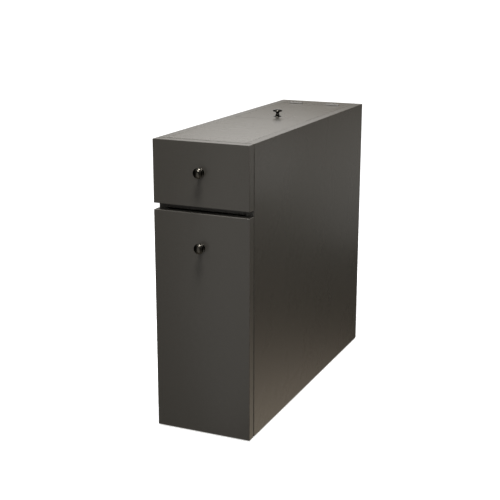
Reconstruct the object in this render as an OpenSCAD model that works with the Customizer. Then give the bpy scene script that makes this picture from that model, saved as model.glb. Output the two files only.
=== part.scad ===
// Slim storage cabinet for a narrow gap beside a toilet: a shallow drawer over a tall pull-out
// rack at the front, and a deep compartment at the back under a hinged lid.
// The front faces -Y, Z is up, and the origin is on the floor at the middle of the overall box.

/* [Cabinet] */
// Overall width
cabinet_w = 190; // [175:1:260]
// Overall depth, from the drawer fronts to the back edge of the sides
cabinet_d = 618; // [500:1:760]
// Height from the floor to the top surface
cabinet_h = 553; // [450:1:700]
// Thickness of the laminated boards
board_t = 18; // [16:0.5:22]
// Height of the glides that the sides stand on
glide_h = 3; // [2:0.5:8]

/* [Fronts] */
// Height of the drawer front
drawer_front_h = 117; // [100:1:160]
// Height of the dark slot between the two fronts
slot_h = 12; // [8:1:24]
// Space between the fronts and the front edges of the carcass
front_gap = 3; // [2:0.5:5]
// How far the divider's underside lies above the pull-out front's top edge
divider_rise = 1; // [0.5:0.5:8]
// Distance of the drawer's knob below the top edge of its front
drawer_knob_drop = 54; // [40:0.5:65]
// Distance of the rack's knob below the top edge of its front
rack_knob_drop = 62; // [40:1:90]

/* [Back and lid] */
// Thickness of the back board
back_t = 3; // [2.5:0.5:6]
// Distance from the back board to the back edges of the sides
back_inset = 10; // [6:1:20]
// Depth of the grooves that hold the back board
groove_depth = 6; // [4:0.5:8]
// Depth of the fixed rail behind the lid
rail_d = 50; // [44:1:80]
// Clearance around the lid
lid_gap = 1; // [1:0.25:3]
// Space between the lid and the rail, where the hinges are
hinge_gap = 3.2; // [3:0.1:5]
// Distance from the lid's front edge to its knob
lid_knob_inset = 40; // [25:1:60]

/* [Slides] */
// Length of the slide channels
slide_l = 270; // [230:5:330]
// Space on each side between a box and the cabinet wall
slide_space = 12.5; // [12.5:0.1:14]
// Thickness of the slides' sheet steel
steel_t = 1.2; // [1:0.1:1.4]
// Radius of the slide rollers
roller_r = 6.5; // [6:0.25:7]
// Free space behind the slides
slide_back_space = 12; // [8:1:30]

/* [Boxes] */
// Thickness of the drawer box's sides and back
box_t = 12; // [12:0.5:15]
// Free space between the drawer box and the top
drawer_headroom = 20; // [10:1:35]
// Thickness of the drawer's bottom
drawer_bottom_t = 3; // [3:0.5:5]
// Thickness of the rack's shelves and back
shelf_t = 16; // [15:0.5:18]
// Height of the rack's lower tier
tier_h = 176; // [120:1:190]
// Height of the rack's back above its upper shelf
rack_back_rise = 84; // [50:1:120]
// Height of the guard rails beside the shelves
guard_h = 45; // [25:1:70]
// Thickness of the guard rails
guard_t = 10; // [8:0.5:14]

/* [Knobs] */
// Height of a knob
knob_h = 15.5; // [14:0.5:26]
// Radius of a knob's head
knob_head_r = 9.5; // [8:0.25:14]
// Radius of a knob's foot
knob_foot_r = 7.5; // [6:0.25:10]
// Radius of a knob's waist
knob_waist_r = 3.2; // [3.2:0.1:5]

/* [Joinery] */
// Radius of a cam lock
cam_r = 7.5; // [6:0.5:7.5]
// How far a cam lock reaches past its bolt's axis
cam_reach = 3.5; // [3:0.25:4]
// Distance from a board's end to its cam locks' centres
cam_inset = 24; // [20:1:34]
// Radius of a dowel
dowel_r = 4; // [3:0.5:4]
// Length of a dowel
dowel_l = 30; // [25:1:35]
// Distance from a board's edge to its first connector
joint_inset = 40; // [30:1:60]

/* [Hidden] */
$fn = 48;
eps = 0.01;
over = 1; // how far a cut runs past its piece

// Clearances
fit = 0.1;          // round a connector in its hole
groove_fit = 0.4;   // between a sheet and its groove
run = 0.3;          // between moving pieces
bumper_clear = 0.2; // between a bumper and the carcass
pin_fit = 0.05;     // between a hinge pin and its knuckle
roller_fit = 0.08;  // between a roller and its rivet

// Depth layout, from front to back
slide_setback = 1;
front_y = (knob_h - cabinet_d) / 2;
front_back_y = front_y + board_t;
carcass_y = front_back_y + front_gap;
back_edge_y = front_y + cabinet_d;
channel_y = carcass_y + slide_setback;
partition_y = channel_y + slide_l + slide_back_space;
top_end_y = partition_y + board_t / 2;
lid_y = top_end_y + lid_gap;
rail_y = back_edge_y - rail_d;
lid_end_y = rail_y - hinge_gap;
back_board_y = back_edge_y - back_inset - back_t;

// Height layout
top_z = cabinet_h - board_t;
bottom_z = glide_h;
floor_z = bottom_z + board_t;
drawer_front_z = cabinet_h - drawer_front_h;
rack_front_h = drawer_front_z - slot_h - glide_h;
divider_z = glide_h + rack_front_h + divider_rise;
shelf_z = divider_z + board_t;
drawer_knob_z = cabinet_h - drawer_knob_drop;
rack_knob_z = glide_h + rack_front_h - rack_knob_drop;

// Widths
inner_w = cabinet_w - 2 * board_t;
box_w = inner_w - 2 * slide_space;

// Slides: the channel's section, and the two rollers of each side
channel_w = 8.5;
channel_h = 2 * roller_r + 2 * run + 2 * steel_t;
roller_w = 6;
roller_gap = 0.4;
axle_r = 2.2;
axle_head_r = 3.5;
axle_head_t = 1;
axle_seat = 0.5;
front_roller_inset = 12;
rear_roller_inset = 8;
front_roller_lift = 0.6;
front_roller_rise = channel_h + front_roller_lift - roller_r;
rear_roller_rise = steel_t + run + roller_r;
runner_top = front_roller_rise + roller_r + run;
runner_flange = 9;
runner_foot = 12;
notch_space = 3;
slide_lift = 2;
upper_slide_z = shelf_z + slide_lift;
lower_slide_z = floor_z + slide_lift;
slide_overrun = 10;
box_l = slide_l - slide_overrun;
box_end_y = front_back_y + box_l;

// Drawer box
drawer_z = upper_slide_z + steel_t;
box_h = top_z - drawer_headroom - drawer_z;
drawer_groove_rise = 10;
drawer_groove_z = drawer_z + drawer_groove_rise;
drawer_groove_depth = 5;
box_screw_depth = box_t - 2;
mini_cam_r = 6;

// Rack
rack_z = lower_slide_z + steel_t;
upper_shelf_z = rack_z + shelf_t + tier_h;
rack_back_y = box_end_y - shelf_t;
rack_back_top = upper_shelf_z + shelf_t + rack_back_rise;
rack_joint_x = box_w / 2 - cam_inset;
rack_dowel_r = 3;

// Hinges
hinge_l = 30;
hinge_inset = 34;
hinge_x = inner_w / 2 - hinge_inset;
leaf_t = 1.2;
leaf_h = 15;
barrel_r = 2.4;
hinge_pin_r = 1.1;
hinge_y = (lid_end_y + rail_y) / 2;
hinge_rise = 0.6;
hinge_z = cabinet_h + hinge_rise;
knuckle_l = (hinge_l - 2 * run) / 3;
hinge_screw_x = 8;
hinge_screw_z = hinge_z - leaf_h + 5;

// Fasteners
knob_screw_r = 2;
knob_screw_bite = 7;
knob_screw_head_h = 2.4;
slide_screw_r = 1.75;
slide_screw_l = 14;
slide_screw_head_h = 1.6;
slide_screw_inset = 30;
slide_screw_end_inset = 25;
screw_tip_r = 0.3;
screw_end_space = 0.5;
hinge_screw_r = 1.4;
hinge_screw_l = 12;
box_screw_r = 2.2;
box_screw_l = 38;
bolt_bite = 11;
bolt_thread_r = 2.5;
bolt_stem_r = 3;
bolt_head_r = 2.6;
bolt_neck_r = 1.7;
bolt_neck_l = 3;
bolt_head_l = 2;
bolt_head_past = 1.5;
bolt_hole_r = 3.5;
cam_slot_r = 3.2;
cam_cross_w = 1.6;
cam_cross_depth = 2;
rail_cam_inset = 27;
rail_dowel_inset = 10;
dowel_bite_share = 0.4;
dowel_chamfer = 1;
dowel_end_space = 0.5;

// Glides and bumpers
glide_r = 7.5;
glide_bevel = 1;
glide_nail_r = 1;
glide_nail_l = 12;
glide_inset = 30;
bumper_r = 4;
bumper_inset = 15;

// Knobs
knob_foot_t = 1.4;
knob_cap_t = 4.9;
knob_band_t = 0.8;

board_colour = [0.26, 0.25, 0.23];
steel_colour = [0.75, 0.75, 0.73];
nylon_colour = [0.92, 0.92, 0.90];
zinc_colour = [0.66, 0.66, 0.67];
chrome_colour = [0.12, 0.12, 0.13];
beech_colour = [0.80, 0.63, 0.42];

// A connector's place is [position, rotation]: its own +X runs from the board's end into the
// neighbour, and its -Z is the face that the cam lock is turned from.
module place(joint) { translate(joint[0]) rotate(joint[1]) children(); }

function on_sides(y, z) = [for (s = [-1, 1]) [[s * inner_w / 2, y, z], [0, 0, s < 0 ? 180 : 0]]];
function from_partition(z) = [for (s = [-1, 1])
    [[s * inner_w / 2, partition_y + board_t / 2, z], [s * 90, 0, s < 0 ? 180 : 0]]];
function to_front(x, z, turn = 0) = [[x, front_back_y, z], [turn, 0, -90]];
function flat(lists) = [for (l = lists) each l];

// Connectors of each carcass board
bottom_cams = flat([for (y = [carcass_y + joint_inset, back_board_y - joint_inset])
    on_sides(y, bottom_z + board_t / 2)]);
bottom_dowels = flat([for (y = [carcass_y + 3 * joint_inset, back_board_y - 3 * joint_inset])
    on_sides(y, bottom_z + board_t / 2)]);
divider_cams = flat([for (y = [carcass_y + joint_inset, partition_y - joint_inset])
    on_sides(y, divider_z + board_t / 2)]);
divider_dowels = on_sides((carcass_y + partition_y) / 2, divider_z + board_t / 2);
top_cams = flat([for (y = [carcass_y + joint_inset, top_end_y - joint_inset])
    on_sides(y, top_z + board_t / 2)]);
top_dowels = on_sides((carcass_y + top_end_y) / 2, top_z + board_t / 2);
rail_cams = on_sides(rail_y + rail_cam_inset, top_z + board_t / 2);
rail_dowels = on_sides(rail_y + rail_dowel_inset, top_z + board_t / 2);
partition_cams = flat([for (z = [floor_z + 1.5 * joint_inset, top_z - 1.5 * joint_inset])
    from_partition(z)]);
partition_dowels = from_partition((floor_z + top_z) / 2);
carcass_cams = concat(bottom_cams, divider_cams, top_cams, rail_cams, partition_cams);
carcass_dowels = concat(bottom_dowels, divider_dowels, top_dowels, rail_dowels, partition_dowels);

// Connectors of the drawer box and the rack
drawer_cams = [for (s = [-1, 1])
    to_front(s * (box_w - box_t) / 2, drawer_z + box_h / 2, s * 90)];
rack_cams = [for (s = [-1, 1], z = [rack_z, upper_shelf_z])
    to_front(s * rack_joint_x, z + shelf_t / 2)];
rack_joints = concat([for (z = [rack_z, upper_shelf_z]) to_front(0, z + shelf_t / 2)],
    [for (s = [-1, 1], z = guard_levels()) to_front(s * (box_w - guard_t) / 2, z + guard_h / 2)]);
function guard_levels() = [rack_z + shelf_t, upper_shelf_z + shelf_t];

// The drawer's box screws are at these heights and run inwards from its sides. The rack's are at
// these [x, z] points on its back and run forwards.
drawer_screw_z = [drawer_z + box_h * 0.4, drawer_z + box_h * 0.8];
rack_screw_points = concat([for (s = [-1, 1], z = [rack_z, upper_shelf_z])
        [s * box_w / 4, z + shelf_t / 2]],
    [for (s = [-1, 1], z = guard_levels()) [s * (box_w - guard_t) / 2, z + guard_h / 2]]);
slide_screw_y = [channel_y + slide_screw_inset, channel_y + slide_l / 2,
    channel_y + slide_l - slide_screw_end_inset];
runner_screw_y = [front_back_y + slide_screw_end_inset, front_back_y + box_l / 2,
    box_end_y - slide_screw_inset];

module both_sides() {
    children();
    mirror([1, 0, 0]) children();
}

module on_side(s) {
    if (s > 0) children();
    else mirror([1, 0, 0]) children();
}

// ---- Connectors ----

// A pocket for a cam lock in a board of thickness t, and the hole to it for the bolt
module cam_pocket(r = cam_r, t = board_t) {
    translate([-cam_inset, 0, -t / 2 - eps]) cylinder(r = r + fit, h = t / 2 + cam_reach + fit + eps);
    translate([-cam_inset, 0, 0]) rotate([0, 90, 0]) cylinder(r = bolt_hole_r, h = cam_inset + eps);
}

module bolt_hole() {
    translate([-eps, 0, 0]) rotate([0, 90, 0])
        cylinder(r = bolt_thread_r + fit, h = bolt_bite + fit + eps);
}

module cam_lock(r = cam_r, t = board_t) {
    cross = 0.6 * r;
    translate([-cam_inset, 0, -t / 2]) difference() {
        cylinder(r = r, h = t / 2 + cam_reach);
        translate([0, 0, t / 2]) rotate([0, 90, 0]) cylinder(r = cam_slot_r, h = r + over);
        translate([0, 0, t / 2]) sphere(r = cam_slot_r);
        for (a = [0, 90]) rotate(a) translate([-cross, -cam_cross_w / 2, -eps])
            cube([2 * cross, cam_cross_w, cam_cross_depth]);
    }
}

module cam_bolt() {
    rotate([0, 90, 0]) {
        translate([0, 0, -eps]) cylinder(r = bolt_thread_r, h = bolt_bite + eps);
        translate([0, 0, bolt_neck_l - cam_inset]) cylinder(r = bolt_stem_r, h = cam_inset - bolt_neck_l);
        translate([0, 0, -cam_inset]) cylinder(r = bolt_neck_r, h = bolt_neck_l + eps);
        translate([0, 0, -cam_inset - bolt_head_past]) cylinder(r = bolt_head_r, h = bolt_head_l);
    }
}

module dowel_hole(r = dowel_r) {
    rotate([0, 90, 0]) translate([0, 0, (dowel_bite_share - 1) * dowel_l - dowel_end_space])
        cylinder(r = r + fit, h = dowel_l + 2 * dowel_end_space);
}

module dowel(r = dowel_r) {
    c = dowel_chamfer;
    rotate([0, 90, 0]) translate([0, 0, (dowel_bite_share - 1) * dowel_l]) {
        cylinder(r1 = r - c, r2 = r, h = c);
        translate([0, 0, c]) cylinder(r = r, h = dowel_l - 2 * c);
        translate([0, 0, dowel_l - c]) cylinder(r1 = r, r2 = r - c, h = c);
    }
}

// A countersunk screw pointing along +Z, with its head's face at the origin
module flat_screw(r, l) {
    difference() {
        union() {
            cylinder(r1 = 2 * r, r2 = r, h = r);
            cylinder(r = r, h = l - r);
            translate([0, 0, l - r]) cylinder(r1 = r, r2 = screw_tip_r, h = r);
        }
        drive_recess(1.1 * r, r * 0.7);
    }
}

module flat_screw_hole(r, l) {
    translate([0, 0, -eps]) cylinder(r1 = 2 * r + fit + eps, r2 = r + fit, h = r + fit);
    cylinder(r = r + fit, h = l + screw_end_space);
}

// A screw with a domed head that stands on its seat, pointing along +Z
module pan_screw(r, l, head_h) {
    difference() {
        union() {
            translate([0, 0, -eps]) cylinder(r = r, h = l + eps);
            translate([0, 0, -head_h * 0.6]) cylinder(r = 2 * r, h = head_h * 0.6);
            translate([0, 0, -head_h]) cylinder(r1 = 1.3 * r, r2 = 2 * r, h = head_h * 0.4 + eps);
        }
        translate([0, 0, -head_h]) drive_recess(1.1 * r, head_h * 0.6);
    }
}

module drive_recess(reach, depth) {
    width = 0.35 * reach;
    for (a = [0, 90]) rotate(a) translate([-reach, -width, -eps]) cube([2 * reach, 2 * width, depth]);
}

// ---- Carcass ----

// A board with its lowest corner at p and its size s
module board(p, s) { translate(p) cube(s); }

module side_panel(s) {
    color(board_colour) difference() {
        board([s > 0 ? inner_w / 2 : -cabinet_w / 2, carcass_y, bottom_z],
            [board_t, back_edge_y - carcass_y, cabinet_h - bottom_z]);
        on_side(s) back_groove();
        for (j = carcass_cams) if (s * j[0][0] > 0) place(j) bolt_hole();
        for (j = carcass_dowels) if (s * j[0][0] > 0) place(j) dowel_hole();
        on_side(s) for (z = [upper_slide_z, lower_slide_z], y = slide_screw_y)
            channel_screw_place(y, z) cylinder(r = slide_screw_r + fit, h = slide_screw_l);
        for (y = glide_places()) translate([s * (cabinet_w - board_t) / 2, y, bottom_z - eps])
            cylinder(r = glide_nail_r + fit, h = glide_nail_l + screw_end_space);
    }
}

module back_groove() {
    translate([inner_w / 2 - eps, back_board_y - groove_fit / 2, bottom_z + board_t - groove_depth])
        cube([groove_depth + eps, back_t + groove_fit, top_z - bottom_z - board_t + 2 * groove_depth]);
}

// The groove for the back board in a flat board, from z up or down over its full width
module flat_groove(z) {
    translate([-inner_w, back_board_y - groove_fit / 2, z])
        cube([2 * inner_w, back_t + groove_fit, groove_depth + eps]);
}

module bottom_panel() {
    color(board_colour) difference() {
        board([-inner_w / 2, carcass_y, bottom_z], [inner_w, back_edge_y - carcass_y, board_t]);
        flat_groove(floor_z - groove_depth);
        for (j = bottom_cams) place(j) cam_pocket();
        for (j = bottom_dowels) place(j) dowel_hole();
    }
}

module divider_panel() {
    color(board_colour) difference() {
        board([-inner_w / 2, carcass_y, divider_z], [inner_w, partition_y - carcass_y, board_t]);
        for (j = divider_cams) place(j) cam_pocket();
        for (j = divider_dowels) place(j) dowel_hole();
    }
}

module partition_panel() {
    color(board_colour) difference() {
        board([-inner_w / 2, partition_y, floor_z], [inner_w, board_t, top_z - floor_z]);
        for (j = partition_cams) place(j) cam_pocket();
        for (j = partition_dowels) place(j) dowel_hole();
    }
}

module top_panel() {
    color(board_colour) difference() {
        board([-inner_w / 2, carcass_y, top_z], [inner_w, top_end_y - carcass_y, board_t]);
        for (j = top_cams) place(j) cam_pocket();
        for (j = top_dowels) place(j) dowel_hole();
    }
}

module rear_rail() {
    color(board_colour) difference() {
        board([-inner_w / 2, rail_y, top_z], [inner_w, rail_d, board_t]);
        translate([0, 0, -eps]) flat_groove(top_z);
        for (j = rail_cams) place(j) cam_pocket();
        for (j = rail_dowels) place(j) dowel_hole();
        both_sides() {
            hinge_relief();
            rail_screw_places() cylinder(r = hinge_screw_r + fit, h = hinge_screw_l);
        }
    }
}

module back_board() {
    slack = groove_fit / 2;
    reach = groove_depth - slack;
    color(board_colour) board([-inner_w / 2 - reach, back_board_y, floor_z - reach],
        [inner_w + 2 * reach, back_t, top_z - floor_z + 2 * reach]);
}

function glide_places() = [carcass_y + glide_inset, back_edge_y - glide_inset];

module floor_glides() {
    color(nylon_colour) both_sides() for (y = glide_places())
        translate([(cabinet_w - board_t) / 2, y, 0]) {
            cylinder(r1 = glide_r - glide_bevel, r2 = glide_r, h = glide_bevel);
            translate([0, 0, glide_bevel]) cylinder(r = glide_r, h = glide_h - glide_bevel);
            cylinder(r = glide_nail_r, h = glide_h + glide_nail_l);
        }
}

module cam_locks() { color(zinc_colour) for (j = carcass_cams) place(j) cam_lock(); }

module cam_bolts() { color(steel_colour) for (j = carcass_cams) place(j) cam_bolt(); }

module wood_dowels() { color(beech_colour) for (j = carcass_dowels) place(j) dowel(); }

// ---- Slides: a C channel on the cabinet wall and an angled runner on the box, for the right side ----

module channel_screw_place(y, z) {
    translate([inner_w / 2 - steel_t, y, z + channel_h / 2]) rotate([0, 90, 0]) children();
}

module front_axle_place(z) {
    translate([inner_w / 2 - steel_t, channel_y + front_roller_inset, z + front_roller_rise])
        rotate([0, -90, 0]) children();
}

module rear_axle_place(z) {
    translate([box_w / 2 + steel_t, box_end_y - rear_roller_inset, z + rear_roller_rise])
        rotate([0, 90, 0]) children();
}

// A rivet that carries a roller: it stands on its sheet along +Z and keeps the roller on with its head
module axle() {
    translate([0, 0, -axle_seat]) cylinder(r = axle_r, h = roller_w + 2 * roller_gap + axle_seat + eps);
    translate([0, 0, roller_w + 2 * roller_gap]) cylinder(r = axle_head_r, h = axle_head_t);
}

module roller() {
    rim = 0.6;
    translate([0, 0, roller_gap]) difference() {
        union() {
            cylinder(r1 = roller_r - rim, r2 = roller_r, h = rim);
            translate([0, 0, rim]) cylinder(r = roller_r, h = roller_w - 2 * rim);
            translate([0, 0, roller_w - rim]) cylinder(r1 = roller_r, r2 = roller_r - rim, h = rim);
        }
        translate([0, 0, -over]) cylinder(r = axle_r + roller_fit, h = roller_w + 2 * over);
    }
}

module channel(z) {
    notch_l = front_roller_inset + roller_r + notch_space;
    x = inner_w / 2 - steel_t - channel_w;
    difference() {
        translate([x, channel_y, z]) cube([channel_w + steel_t, slide_l, channel_h]);
        translate([x - eps, channel_y - eps, z + steel_t])
            cube([channel_w + eps, slide_l + 2 * eps, channel_h - 2 * steel_t]);
        translate([x - eps, channel_y - eps, z + channel_h - steel_t - eps])
            cube([channel_w + eps, notch_l, steel_t + 2 * eps]);
        for (y = slide_screw_y) channel_screw_place(y, z) translate([0, 0, -eps])
            cylinder(r = slide_screw_r + fit, h = steel_t + 2 * eps);
    }
    front_axle_place(z) axle();
}

module runner(z) {
    x = box_w / 2;
    difference() {
        union() {
            translate([x, front_back_y, z]) cube([steel_t, box_l, runner_top + steel_t]);
            translate([x - runner_foot, front_back_y, z]) cube([runner_foot + eps, box_l, steel_t]);
            translate([x, front_back_y, z + runner_top]) cube([steel_t + runner_flange, box_l, steel_t]);
        }
        for (y = runner_screw_y) runner_screw_place(y, z) translate([0, 0, -eps])
            cylinder(r = slide_screw_r + fit, h = steel_t + 2 * eps);
    }
    rear_axle_place(z) axle();
}

// The runner's screws are driven from outside, along -X
module runner_screw_place(y, z) {
    translate([box_w / 2 + steel_t, y, z + channel_h / 2]) rotate([0, -90, 0]) children();
}

module upper_channel(s) { color(steel_colour) on_side(s) channel(upper_slide_z); }

module lower_channel(s) { color(steel_colour) on_side(s) channel(lower_slide_z); }

module channel_screws() {
    color(zinc_colour) both_sides() for (z = [upper_slide_z, lower_slide_z], y = slide_screw_y)
        channel_screw_place(y, z) pan_screw(slide_screw_r, slide_screw_l, slide_screw_head_h);
}

module channel_rollers(z) { color(nylon_colour) both_sides() front_axle_place(z) roller(); }

module runner_rollers(z) { color(nylon_colour) both_sides() rear_axle_place(z) roller(); }

// ---- Drawer ----

// A hole through a front for its knob's screw, which is driven from inside along -Y
module knob_hole(z) {
    translate([0, front_y - over, z]) rotate([-90, 0, 0])
        cylinder(r = knob_screw_r + fit, h = board_t + 2 * over);
}

module drawer_front() {
    color(board_colour) difference() {
        board([-cabinet_w / 2, front_y, drawer_front_z], [cabinet_w, board_t, drawer_front_h]);
        knob_hole(drawer_knob_z);
        drawer_bottom_slot();
        for (j = drawer_cams) place(j) bolt_hole();
    }
}

// The groove that the drawer's bottom slides into, in the sides and the front
module drawer_bottom_slot() {
    translate([-box_w / 2 + box_t - drawer_groove_depth, front_back_y - drawer_groove_depth,
            drawer_groove_z])
        cube([box_w - 2 * box_t + 2 * drawer_groove_depth, box_l + drawer_groove_depth + eps,
            drawer_bottom_t + fit]);
}

module drawer_side(s) {
    color(board_colour) difference() {
        board([s > 0 ? box_w / 2 - box_t : -box_w / 2, front_back_y, drawer_z], [box_t, box_l, box_h]);
        drawer_bottom_slot();
        for (j = drawer_cams) if (s * j[0][0] > 0) place(j) cam_pocket(mini_cam_r, box_t);
        on_side(s) {
            for (z = drawer_screw_z) drawer_screw_place(z) flat_screw_hole(box_screw_r, box_screw_l);
            for (y = runner_screw_y) runner_screw_place(y, upper_slide_z)
                cylinder(r = slide_screw_r + fit, h = box_screw_depth + screw_end_space);
        }
    }
}

module drawer_screw_place(z) {
    translate([box_w / 2, box_end_y - box_t / 2, z]) rotate([0, -90, 0]) children();
}

module drawer_back() {
    z = drawer_groove_z + drawer_bottom_t + fit;
    color(board_colour) difference() {
        board([-box_w / 2 + box_t, box_end_y - box_t, z],
            [box_w - 2 * box_t, box_t, drawer_z + box_h - z]);
        both_sides() for (z = drawer_screw_z) drawer_screw_place(z)
            flat_screw_hole(box_screw_r, box_screw_l);
    }
}

module drawer_bottom() {
    slack = groove_fit / 2;
    reach = drawer_groove_depth - slack;
    color(board_colour) board([-box_w / 2 + box_t - reach, front_back_y - reach, drawer_groove_z],
        [box_w - 2 * box_t + 2 * reach, box_l + reach, drawer_bottom_t]);
}

module drawer_runner(s) { color(steel_colour) on_side(s) runner(upper_slide_z); }

module drawer_cams_and_bolts() {
    color(zinc_colour) for (j = drawer_cams) place(j) {
        cam_lock(mini_cam_r, box_t);
        cam_bolt();
    }
}

module drawer_screws() {
    color(zinc_colour) both_sides() {
        for (z = drawer_screw_z) drawer_screw_place(z) flat_screw(box_screw_r, box_screw_l);
        for (y = runner_screw_y) runner_screw_place(y, upper_slide_z)
            pan_screw(slide_screw_r, box_screw_depth, slide_screw_head_h);
    }
}

module bumper(z) {
    both_sides() translate([(cabinet_w - board_t) / 2, front_back_y, z]) rotate([-90, 0, 0])
        cylinder(r = bumper_r, h = front_gap - bumper_clear);
}

module drawer_bumpers() {
    color(nylon_colour) for (z = [drawer_front_z + bumper_inset, cabinet_h - bumper_inset]) bumper(z);
}

// ---- Knobs ----

// A quarter arc about c from angle a to b, as points
function arc(c, r, a, b, steps = 10) = [for (i = [0 : steps])
    let (t = a + (b - a) * i / steps) [c[0] + r[0] * cos(t), c[1] + r[1] * sin(t)]];

// A turned knob standing on the origin along +Z, with a threaded blind hole in its foot
module knob() {
    rim_z = knob_h - knob_cap_t;
    waist_z = (knob_foot_t + rim_z) / 2;
    outline = concat([[0, 0], [knob_foot_r, 0], [knob_foot_r, knob_foot_t]],
        arc([knob_foot_r, waist_z], [knob_foot_r - knob_waist_r, waist_z - knob_foot_t], 260, 180),
        arc([knob_head_r, waist_z], [knob_head_r - knob_waist_r, rim_z - waist_z], 180, 100),
        arc([0, rim_z + knob_band_t], [knob_head_r, knob_cap_t - knob_band_t], 0, 90));
    difference() {
        rotate_extrude() polygon(outline);
        translate([0, 0, -eps]) cylinder(r = knob_screw_r + fit, h = knob_screw_bite + over);
    }
}

module front_knob(z) {
    color(chrome_colour) translate([0, front_y, z]) rotate([90, 0, 0]) knob();
}

// The knob's screw runs from inside the front, along -Y
module front_knob_screw(z) {
    color(zinc_colour) translate([0, front_back_y, z]) rotate([90, 0, 0])
        pan_screw(knob_screw_r, board_t + knob_screw_bite, knob_screw_head_h);
}

// ---- Rack ----

module rack_front() {
    color(board_colour) difference() {
        board([-cabinet_w / 2, front_y, glide_h], [cabinet_w, board_t, rack_front_h]);
        knob_hole(rack_knob_z);
        for (j = rack_cams) place(j) bolt_hole();
        for (j = rack_joints) place(j) dowel_hole(rack_dowel_r);
    }
}

function in_shelf(joint, z) = joint[0][2] > z && joint[0][2] < z + shelf_t;

module rack_shelf(z) {
    color(board_colour) difference() {
        board([-box_w / 2, front_back_y, z], [box_w, rack_back_y - front_back_y, shelf_t]);
        for (j = rack_cams) if (in_shelf(j, z)) place(j) cam_pocket(cam_r, shelf_t);
        for (j = rack_joints) if (in_shelf(j, z)) place(j) dowel_hole(rack_dowel_r);
        rack_screw_places() flat_screw_hole(box_screw_r, box_screw_l);
        if (z == rack_z) both_sides() for (y = runner_screw_y) runner_screw_place(y, lower_slide_z)
            cylinder(r = slide_screw_r + fit, h = slide_screw_l);
    }
}

module rack_screw_places() {
    for (p = rack_screw_points) translate([p[0], box_end_y, p[1]]) rotate([90, 0, 0]) children();
}

module rack_back() {
    color(board_colour) difference() {
        board([-box_w / 2, rack_back_y, rack_z], [box_w, shelf_t, rack_back_top - rack_z]);
        rack_screw_places() flat_screw_hole(box_screw_r, box_screw_l);
    }
}

module rack_guard(s, z) {
    color(board_colour) difference() {
        board([s > 0 ? box_w / 2 - guard_t : -box_w / 2, front_back_y, z],
            [guard_t, rack_back_y - front_back_y, guard_h]);
        for (j = rack_joints) place(j) dowel_hole(rack_dowel_r);
        rack_screw_places() flat_screw_hole(box_screw_r, box_screw_l);
    }
}

module rack_runner(s) { color(steel_colour) on_side(s) runner(lower_slide_z); }

module rack_cams_and_bolts() {
    color(zinc_colour) for (j = rack_cams) place(j) {
        cam_lock(cam_r, shelf_t);
        cam_bolt();
    }
}

module rack_dowels() { color(beech_colour) for (j = rack_joints) place(j) dowel(rack_dowel_r); }

module rack_screws() {
    color(zinc_colour) {
        rack_screw_places() flat_screw(box_screw_r, box_screw_l);
        both_sides() for (y = runner_screw_y) runner_screw_place(y, lower_slide_z)
            pan_screw(slide_screw_r, slide_screw_l, slide_screw_head_h);
    }
}

module rack_bumpers() {
    color(nylon_colour) for (z = [glide_h + bumper_inset, glide_h + rack_front_h - bumper_inset]) bumper(z);
}

// ---- Lid and its hinges ----

module lid_panel() {
    color(board_colour) difference() {
        board([-inner_w / 2 + lid_gap / 2, lid_y, top_z], [inner_w - lid_gap, lid_end_y - lid_y, board_t]);
        translate([0, lid_y + lid_knob_inset, top_z - over])
            cylinder(r = knob_screw_r + fit, h = board_t + 2 * over);
        both_sides() {
            hinge_relief();
            lid_screw_places() cylinder(r = hinge_screw_r + fit, h = hinge_screw_l);
        }
    }
}

module lid_knob() {
    color(chrome_colour) translate([0, lid_y + lid_knob_inset, cabinet_h]) knob();
}

module lid_knob_screw() {
    color(zinc_colour) translate([0, lid_y + lid_knob_inset, top_z])
        pan_screw(knob_screw_r, board_t + knob_screw_bite, knob_screw_head_h);
}

module hinge_axis(x, r, l) { translate([x, hinge_y, hinge_z]) rotate([0, 90, 0]) cylinder(r = r, h = l); }

// Room for a hinge's barrel, cut from the edges of the lid and the rail
module hinge_relief() {
    hinge_axis(hinge_x - hinge_l / 2 - over, barrel_r + run, hinge_l + 2 * over);
}

// One hinge leaf against the edge of a board. away is -1 for the lid's leaf and 1 for the rail's,
// and knuckles lists the thirds of the barrel that it carries.
module hinge_leaf(away, knuckles) {
    face = away > 0 ? rail_y - leaf_t : lid_end_y;
    start = hinge_x - hinge_l / 2;
    difference() {
        union() {
            translate([start, face, hinge_z - leaf_h]) cube([hinge_l, leaf_t, leaf_h]);
            for (k = knuckles) hinge_axis(start + k * (knuckle_l + run), barrel_r, knuckle_l);
        }
        hinge_axis(start - over, hinge_pin_r + pin_fit, hinge_l + 2 * over);
        for (k = [0 : 2]) if (len(search(k, knuckles)) == 0)
            hinge_axis(start + k * (knuckle_l + run) - run, barrel_r + run, knuckle_l + 2 * run);
        if (away > 0) rail_screw_places() flat_screw_hole(hinge_screw_r, hinge_screw_l);
        else lid_screw_places() flat_screw_hole(hinge_screw_r, hinge_screw_l);
    }
}

module rail_screw_places() {
    for (x = [-1, 1] * hinge_screw_x) translate([hinge_x + x, rail_y - leaf_t, hinge_screw_z])
        rotate([-90, 0, 0]) children();
}

module lid_screw_places() {
    for (x = [-1, 1] * hinge_screw_x) translate([hinge_x + x, lid_end_y + leaf_t, hinge_screw_z])
        rotate([90, 0, 0]) children();
}

module hinge_rail_leaves() { color(steel_colour) both_sides() hinge_leaf(1, [0, 2]); }

module hinge_lid_leaves() { color(steel_colour) both_sides() hinge_leaf(-1, [1]); }

module hinge_pins() {
    color(steel_colour) both_sides() hinge_axis(hinge_x - hinge_l / 2, hinge_pin_r, hinge_l);
}

module hinge_rail_screws() {
    color(zinc_colour) both_sides() rail_screw_places() flat_screw(hinge_screw_r, hinge_screw_l);
}

module hinge_lid_screws() {
    color(zinc_colour) both_sides() lid_screw_places() flat_screw(hinge_screw_r, hinge_screw_l);
}

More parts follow.
